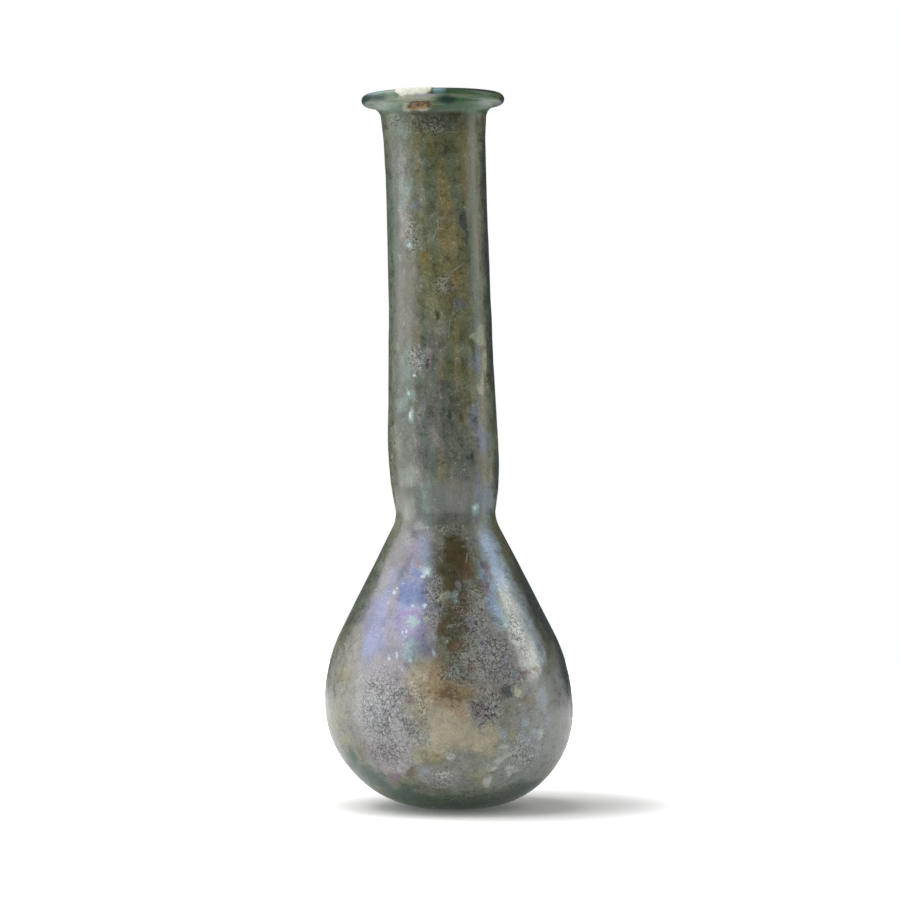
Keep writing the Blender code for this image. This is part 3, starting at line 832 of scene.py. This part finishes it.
class Paint(Nodes):
    """Nodes of the vessel's material, with the chart of its wall and the noises that films share."""

    def __init__(self, tree):
        super().__init__(tree)
        split = self.node("ShaderNodeSeparateXYZ", {0: self.field("place", "Vector")})
        self.height = split.outputs["Z"]
        turn = self.sum("ARCTAN2", split.outputs["X"], split.outputs["Y"])
        across = self.sum("MULTIPLY", turn, self.field("girth"))
        self.chart = self.node("ShaderNodeCombineXYZ", {"X": across, "Y": self.height}).outputs[0]
        position = self.node("ShaderNodeTexCoord", {}).outputs["Object"]
        scaled = self.node("ShaderNodeVectorMath", {0: position, "Scale": 1.0 / MM}, operation="SCALE")
        self.place = scaled.outputs[0]
        cloud = self.noise(*EDGE_NOISE)
        self.ragged = self.sum("SUBTRACT", cloud.outputs[0], 0.5)
        inputs = {0: cloud.outputs[1], 1: (CRACK_BEND,) * 3, 2: self.place}
        bent = self.node("ShaderNodeVectorMath", inputs, operation="MULTIPLY_ADD").outputs[0]
        cells = self.node("ShaderNodeTexVoronoi", {"Vector": bent, "Scale": CRACK_SCALE},
                          feature="DISTANCE_TO_EDGE")
        self.cells = cells.outputs["Distance"]
        self.mottle = self.noise(*MOTTLE_NOISE).outputs[0]

    def field(self, name, output="Fac"):
        """A value kept on the mesh's points."""
        return self.node("ShaderNodeAttribute", {}, attribute_name=name).outputs[output]

    def noise(self, scale, detail, roughness, distortion=0.0):
        """Cloudy noise, with the given number of features a millimetre."""
        inputs = {"Vector": self.place, "Scale": scale, "Detail": detail, "Roughness": roughness,
                  "Distortion": distortion}
        return self.node("ShaderNodeTexNoise", inputs)

    def small_reach(self, spots):
        """Reach to the nearest of the small spots, worked out in the shader."""
        nearest = None
        for across, up, wide, tall, *slant in spots:
            chart = self.chart
            if slant:
                inputs = {"Vector": chart, "Center": (across, up, 0.0), "Angle": -math.radians(slant[0])}
                chart = self.node("ShaderNodeVectorRotate", inputs, rotation_type="Z_AXIS").outputs[0]
            inputs = {0: chart, 1: (1.0 / wide, 1.0 / tall, 0.0), 2: (-across / wide, -up / tall, 0.0)}
            local = self.node("ShaderNodeVectorMath", inputs, operation="MULTIPLY_ADD").outputs[0]
            reach = self.node("ShaderNodeVectorMath", {0: local}, operation="LENGTH").outputs["Value"]
            nearest = reach if nearest is None else self.sum("MINIMUM", nearest, reach)
        return nearest

    def mask(self, reach, softness, raggedness, noise=None):
        """Soft and ragged edge around what lies within reach; the noise runs from -0.5 to 0.5."""
        edge = self.sum("MULTIPLY_ADD", noise or self.ragged, raggedness * 2.0, reach)
        return self.step(edge, 1.0 + softness, 1.0 - softness)

    def stain(self, stain, colour, sheen, reach=None, noise=None):
        """The stain, or painted shade or highlight, laid over the colour and the sheen."""
        reach = reach or self.field(stain.name)
        mask = self.mask(reach, stain.softness, stain.raggedness, noise)
        mask = self.sum("MULTIPLY", mask, stain.cover)
        return self.blend(mask, colour, (*stain.colour, 1.0)), self.mix(mask, sheen, stain.sheen)


def neck_streaks(paint, colour):
    """Long green and warm streaks that run up the neck."""
    tint = paint.blend(paint.step(paint.field("streaks"), *STREAK_STEP), GREEN_STREAK, WARM_STREAK)
    return paint.blend(paint.step(paint.height, *NECK_STEP), colour, tint, "MULTIPLY")


def film_grain(paint, colour, crowd, calm):
    """Fine mottling of the film, strong where specks crowd together and weak where it is smooth."""
    grain = paint.noise(*GRAIN_NOISE).outputs[0]
    grit = paint.noise(*GRIT_NOISE).outputs[0]
    tone = paint.sum("MULTIPLY", paint.step(grit, *GRIT_TONE), paint.step(paint.mottle, *MOTTLE_TONE))
    tone = paint.mix(paint.sum("MULTIPLY", calm, CALM_COVER), tone, 1.0)
    colour = paint.blend(1.0, colour, tone, "MULTIPLY")
    clumps = paint.sum("MULTIPLY", crowd, paint.step(paint.mottle, *CLUMP_STEP))
    pits = paint.sum("MULTIPLY", paint.step(grain, *PIT_STEP), clumps)
    colour = paint.blend(paint.sum("MULTIPLY", pits, PIT_COVER), colour, DARK_PIT)
    ridge = paint.sum("ABSOLUTE", paint.sum("SUBTRACT", grain, SPECK_RIDGE))
    specks = paint.sum("MULTIPLY", paint.step(ridge, *SPECK_STEP), clumps)
    colour = paint.blend(paint.sum("MULTIPLY", specks, SPECK_COVER), colour, PALE_SPECK)
    clusters = paint.step(paint.mottle, *CLUSTER_STEP)
    dots = paint.sum("MULTIPLY", paint.step(grit, *DOT_STEP), clusters)
    colour = paint.blend(dots, colour, BRIGHT_SPECK)
    return colour, grain, grit


def crackle(paint, colour, grit, zone):
    """Dark crooked cracks between the small pale plates of the crackled film."""
    broken = paint.sum("MULTIPLY_ADD", paint.ragged, -CRACK_RAGGEDNESS, paint.cells)
    cracks = paint.step(broken, *CRACK_STEP)
    worms = paint.sum("ABSOLUTE", paint.sum("SUBTRACT", paint.ragged, WORM_RIDGE))
    worms = paint.sum("MULTIPLY", paint.step(worms, *WORM_STEP), zone)
    cracks = paint.sum("MAXIMUM", cracks, worms)
    plates = paint.sum("MULTIPLY", zone, paint.step(grit, *PLATE_STEP))
    zone = paint.sum("MULTIPLY", zone, paint.step(paint.mottle, *CRACKLE_STEP))
    colour = paint.blend(plates, colour, PALE_PLATE)
    cover = paint.sum("MULTIPLY", paint.sum("MULTIPLY", cracks, zone), CRACK_COVER)
    return paint.blend(cover, colour, CRACK)


def rim_glass(paint, colour, sheen, rim):
    """Clearer green glass of the rim, with its deposits, and painted highlights and a painted reflection on
    it.
    """
    streaks = paint.sum("MULTIPLY_ADD", paint.ragged, RIM_RAGGEDNESS, paint.field("rim streaks"))
    glass = paint.blend(paint.step(streaks, *RIM_STREAK_STEP), RIM_GLASS, PALE_RIM_GLASS)
    colour = paint.blend(rim, colour, glass)
    sheen = paint.mix(rim, sheen, RIM_SHEEN)
    for stain in RIM_STAINS:
        colour, sheen = paint.stain(stain, colour, sheen)
    shade = paint.mix(rim, 1.0, paint.step(paint.ragged, *RIM_TONE))
    return paint.blend(1.0, colour, shade, "MULTIPLY"), sheen


def film_roughness(paint, crowd, rim):
    """Glossy where the film is smooth, duller where it is speckled, on the rim and on the crust."""
    rough = paint.step(paint.mottle, *ROUGHNESS_STEP)
    rough = paint.mix(paint.sum("MULTIPLY", crowd, SPECKLED_DULLING), rough, SPECKLED_ROUGHNESS)
    rough = paint.mix(rim, rough, RIM_ROUGHNESS)
    return paint.mix(paint.mask(paint.field(CRUST), *CRUST_EDGE), rough, CRUST_ROUGHNESS)


def weathered_glass():
    """Green glass under a weathering film with a coloured sheen; its colour also holds painted shade and
    highlights.
    """
    material = bpy.data.materials.new("weathered_glass")
    material.use_nodes = True
    tree = material.node_tree
    shader = tree.nodes["Principled BSDF"]
    paint = Paint(tree)

    clouds = paint.step(paint.noise(*CLOUD_NOISE).outputs[0], *CLOUD_STEP)
    colour, sheen = paint.blend(clouds, OLIVE_FILM, GREY_FILM), FILM_SHEEN
    for stain in WASHES + STAINS:
        colour, sheen = paint.stain(stain, colour, sheen)

    # The foot is painted dark green: painted shade by the floor, where the glass is also clearer
    foot = paint.sum("MULTIPLY_ADD", paint.ragged, FOOT_RAGGEDNESS, paint.height)
    foot_shade = paint.step(foot, *FOOT_STEP)
    colour, sheen = paint.blend(foot_shade, colour, FOOT_SHADE_GLASS), paint.mix(foot_shade, sheen, 0.0)

    crowd = paint.mask(paint.field("speckled"), *SPECKLED_EDGE)
    calm = paint.mask(paint.field("smooth"), *SMOOTH_EDGE)
    colour = neck_streaks(paint, colour)
    colour, grain, grit = film_grain(paint, colour, crowd, calm)
    colour = crackle(paint, colour, grit, paint.mask(paint.field("crackled"), *CRACKLED_EDGE))
    fine = paint.sum("SUBTRACT", grain, 0.5)
    colour, sheen = paint.stain(SMALL_SPOTS, colour, sheen, paint.small_reach(SMALL_SPOTS.spots), fine)
    colour, sheen = paint.stain(SCRATCHES, colour, sheen, paint.small_reach(SCRATCHES.spots), fine)

    rim = paint.step(paint.height, *RIM_STEP)
    colour, sheen = rim_glass(paint, colour, sheen, rim)
    colour = paint.blend(paint.field("inside"), colour, INNER_FILM)
    tree.links.new(colour, shader.inputs["Base Color"])
    tree.links.new(sheen, shader.inputs["Metallic"])
    tree.links.new(film_roughness(paint, crowd, rim), shader.inputs["Roughness"])
    clear = paint.mix(foot_shade, paint.mix(rim, FILM_CLEARNESS, RIM_CLEARNESS), FOOT_CLEARNESS)
    tree.links.new(clear, shader.inputs["Transmission Weight"])

    strength = paint.mix(crowd, paint.mix(calm, FILM_BUMP, SMOOTH_BUMP), 1.0)
    bump = paint.node("ShaderNodeBump", {"Height": grit, "Strength": strength, "Distance": BUMP_HEIGHT})
    tree.links.new(bump.outputs[0], shader.inputs["Normal"])
    glass = paint.node("ShaderNodeVolumeAbsorption", {"Color": GLASS_TINT, "Density": GLASS_DENSITY})
    tree.links.new(glass.outputs[0], tree.nodes["Material Output"].inputs["Volume"])
    return material


def add_camera():
    """Level camera in front of the vessel, at the photograph's viewing angle."""
    data = bpy.data.cameras.new("camera")
    data.sensor_width = SENSOR_WIDTH
    data.lens = FOCAL_LENGTH
    camera = bpy.data.objects.new("camera", data)
    camera.location = CAMERA_PLACE
    camera.rotation_euler = (math.pi / 2.0, 0.0, 0.0)
    bpy.context.collection.objects.link(camera)
    bpy.context.scene.camera = camera


def floor_glow(nodes, middle, reach, strength):
    """Glow that grows with the distance from the middle."""
    place = nodes.node("ShaderNodeTexCoord", {}).outputs["Object"]
    length = nodes.node("ShaderNodeVectorMath", {0: place, 1: middle}, operation="DISTANCE")
    return nodes.step(length.outputs["Value"], *reach, *strength)


def floor_material():
    """Matt white with a glow; the glow that the camera sees is dimmer near the vessel, painting a shadow
    there over the real one.
    """
    material = bpy.data.materials.new("floor")
    material.use_nodes = True
    tree = material.node_tree
    shader = tree.nodes["Principled BSDF"]
    shader.inputs["Base Color"].default_value = FLOOR_COLOUR
    shader.inputs["Roughness"].default_value = 1.0
    shader.inputs["Specular IOR Level"].default_value = 0.0
    shader.inputs["Emission Color"].default_value = WHITE
    nodes = Nodes(tree)
    glow = floor_glow(nodes, (0.0, 0.0, 0.0), GLOW_REACH, GLOW_STRENGTH)
    # Painted shadow: a glow that only the camera sees, dim near the vessel and bright further out
    painted_shadow_glow = floor_glow(nodes, PAINTED_SHADOW_PLACE, PAINTED_SHADOW_REACH, PAINTED_SHADOW_GLOW)
    path = nodes.node("ShaderNodeLightPath", {})
    strength = nodes.mix(path.outputs["Is Camera Ray"], glow, painted_shadow_glow)
    tree.links.new(strength, shader.inputs["Emission Strength"])
    return material


def add_floor():
    """Plain pale floor, as a thin disc under the vessel."""
    points = [(0.0, 0.0, 0.0)]
    for side in range(FLOOR_SIDES):
        turn = 2.0 * math.pi * side / FLOOR_SIDES
        points.append((FLOOR_RADIUS * math.cos(turn), FLOOR_RADIUS * math.sin(turn), 0.0))
    faces = [(0, 1 + side, 1 + (side + 1) % FLOOR_SIDES) for side in range(FLOOR_SIDES)]
    mesh = bpy.data.meshes.new("floor")
    mesh.from_pydata(points, [], faces)
    mesh.materials.append(floor_material())
    floor = bpy.data.objects.new("floor", mesh)
    floor.location.z = -FLOOR_DROP
    bpy.context.collection.objects.link(floor)


def add_world():
    """White backdrop, with soft light from overhead and little from the horizon."""
    world = bpy.data.worlds.new("studio")
    world.use_nodes = True
    world.node_tree.nodes.clear()
    nodes = Nodes(world.node_tree)
    place = nodes.node("ShaderNodeTexCoord", {}).outputs["Generated"]
    rise = nodes.node("ShaderNodeSeparateXYZ", {0: place}).outputs["Z"]
    light = nodes.node("ShaderNodeBackground", {"Strength": nodes.step(rise, *SKY_RISE, *SKY_LIGHT)})
    through = nodes.node("ShaderNodeBackground", {"Strength": LIGHT_THROUGH_GLASS})
    backdrop = nodes.node("ShaderNodeBackground", {"Color": WHITE})
    path = nodes.node("ShaderNodeLightPath", {})
    inputs = {"Fac": path.outputs["Is Transmission Ray"], 1: light.outputs[0], 2: through.outputs[0]}
    lit = nodes.node("ShaderNodeMixShader", inputs)
    inputs = {"Fac": path.outputs["Is Camera Ray"], 1: lit.outputs[0], 2: backdrop.outputs[0]}
    seen = nodes.node("ShaderNodeMixShader", inputs)
    nodes.node("ShaderNodeOutputWorld", {"Surface": seen.outputs[0]})
    bpy.context.scene.world = world


def add_softbox(name, bearing, rise, distance, width, tall, radiance):
    """Rectangular light facing the vessel's middle."""
    data = bpy.data.lights.new(name, "AREA")
    data.shape = "RECTANGLE"
    data.size = width
    data.size_y = tall
    data.energy = radiance * math.pi * width * tall
    light = bpy.data.objects.new(name, data)
    angle, lift = math.radians(bearing), math.radians(rise)
    level = distance * math.cos(lift)
    height = LIGHT_AIM + distance * math.sin(lift)
    light.location = (-level * math.sin(angle), -level * math.cos(angle), height)
    light.rotation_euler = (math.pi / 2.0 - lift, 0.0, -angle)
    bpy.context.collection.objects.link(light)


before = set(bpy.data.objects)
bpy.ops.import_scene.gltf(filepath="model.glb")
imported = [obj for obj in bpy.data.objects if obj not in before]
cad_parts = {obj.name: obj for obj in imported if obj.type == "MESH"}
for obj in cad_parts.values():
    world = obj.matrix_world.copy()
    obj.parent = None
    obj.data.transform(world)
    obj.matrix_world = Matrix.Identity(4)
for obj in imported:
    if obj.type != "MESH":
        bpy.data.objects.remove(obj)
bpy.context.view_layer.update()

vessel = bpy.data.objects.new("unguentarium", vessel_mesh())
bpy.context.collection.objects.link(vessel)
vessel.data.materials.append(weathered_glass())
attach(vessel, "root")
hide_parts("glass_vessel")

add_camera()
add_floor()
add_world()
for softbox in SOFTBOXES:
    add_softbox(*softbox)
bpy.context.scene.view_settings.view_transform = "Standard"
